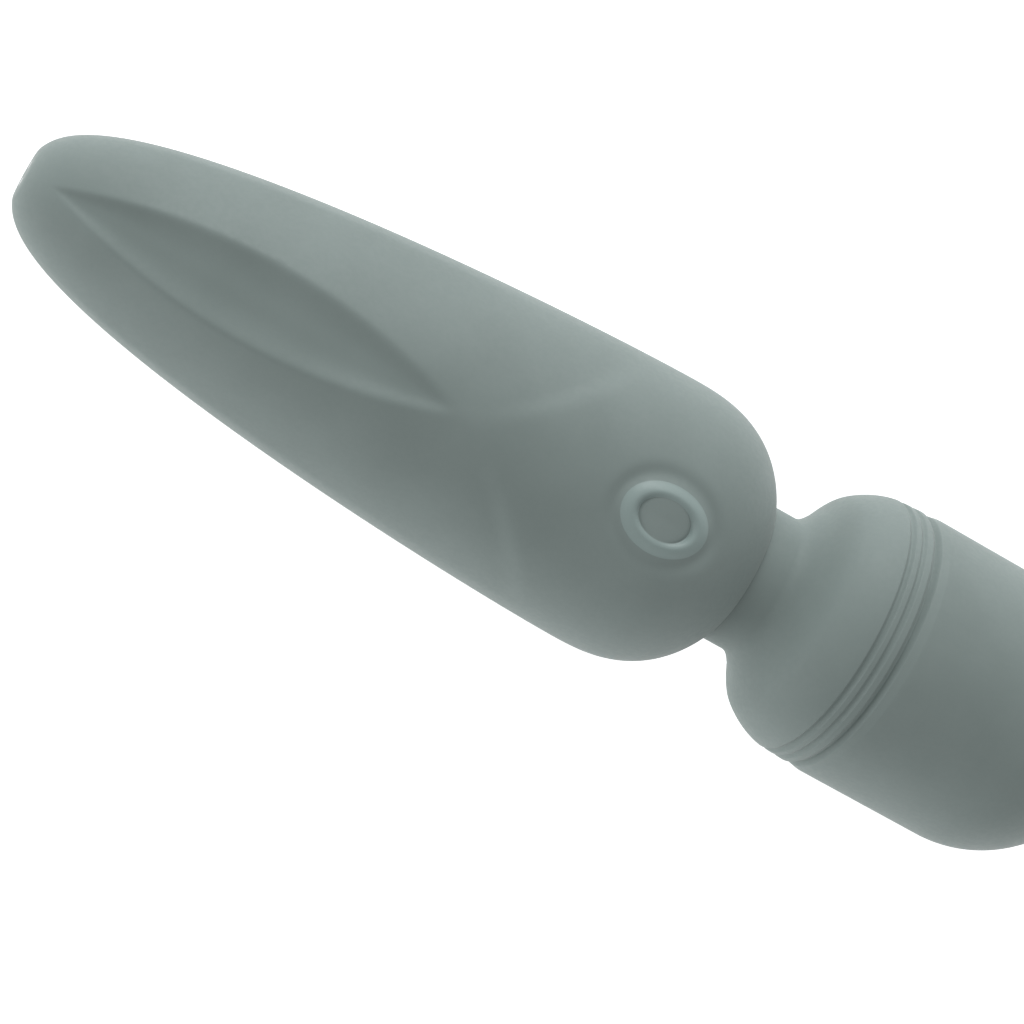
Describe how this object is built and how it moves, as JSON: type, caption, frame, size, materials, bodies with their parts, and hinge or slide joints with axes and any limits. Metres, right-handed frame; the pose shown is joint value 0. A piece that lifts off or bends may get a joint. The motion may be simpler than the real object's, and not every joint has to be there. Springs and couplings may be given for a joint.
{
  "type": "handheld wand massager",
  "caption": "Battery wand massager with a leaf-shaped silicone handle, an oval push button, a bending neck and a round vibrating head.",
  "frame": {"origin": "centre of the flat charging face at the handle's tip", "axes": "+X along the massager from the handle's tip to the head, +Z out of the side with the button, +Y across the handle"},
  "size_m": [0.178, 0.0414, 0.0419],
  "materials": {
    "silicone": "matte soft-touch silicone, sage grey",
    "housing_plastic": "moulded ABS, fine texture",
    "dark_plastic": "moulded, black",
    "steel": "plated",
    "ferrite": "sintered ferrite",
    "brass": "bright",
    "board": "green solder mask",
    "battery_wrap": "heat-shrink film",
    "foam": "foam rubber",
    "lead_cover": "soft insulation"
  },
  "bodies": {
    "handle": {"handle_skin": "silicone", "housing_front": "housing_plastic", "housing_back": "housing_plastic", "housing_screws": "steel", "charge_port": "silicone", "charge_contacts": "steel", "charge_magnet": "steel", "charge_leads": "lead_cover", "battery_cell": "battery_wrap", "battery_pad": "foam", "battery_leads": "lead_cover", "circuit_board": "board", "board_components": "dark_plastic", "board_screws": "steel", "switch_body": "dark_plastic", "neck_collar": "dark_plastic", "neck_sleeve": "silicone", "neck_spring": "steel", "motor_leads": "lead_cover"},
    "button": {"button_cap": "silicone", "button_plate": "housing_plastic", "switch_plunger": "dark_plastic"},
    "neck_link": {"neck_link": "dark_plastic", "pitch_pins": "steel", "yaw_pins": "steel"},
    "head": {"head_collar": "dark_plastic", "head_collar_screws": "steel", "head_base": "housing_plastic", "head_cap": "housing_plastic", "head_skin": "silicone", "motor_can": "steel", "motor_end_bell": "dark_plastic", "motor_magnets": "ferrite", "motor_brushes": "brass", "motor_bushings": "brass", "motor_bracket": "steel", "motor_screws": "steel", "motor_damper": "foam"},
    "rotor": {"motor_shaft": "steel", "motor_armature": "steel", "motor_windings": "brass", "motor_commutator": "brass", "eccentric_weight": "steel"}
  },
  "joints": [
    {"name": "button_press", "type": "slide", "parent": "handle", "child": "button", "axis": [0, 0, -1], "range_m": [0, 0.0006], "stiffness_N_per_m": 3000},
    {"name": "neck_pitch", "type": "hinge", "parent": "handle", "child": "neck_link", "pos_m": [0.1142, 0, 0], "axis": [0, 1, 0], "range_deg": [-18, 18], "stiffness_Nm_per_rad": 2, "deforming": ["neck_sleeve", "neck_spring"]},
    {"name": "neck_yaw", "type": "hinge", "parent": "neck_link", "child": "head", "pos_m": [0.1198, 0, 0], "axis": [0, 0, 1], "range_deg": [-18, 18], "stiffness_Nm_per_rad": 2, "deforming": ["motor_leads"]},
    {"name": "motor_spin", "type": "hinge", "parent": "head", "child": "rotor", "pos_m": [0.14, 0, 0], "axis": [1, 0, 0], "continuous": true}
  ]
}
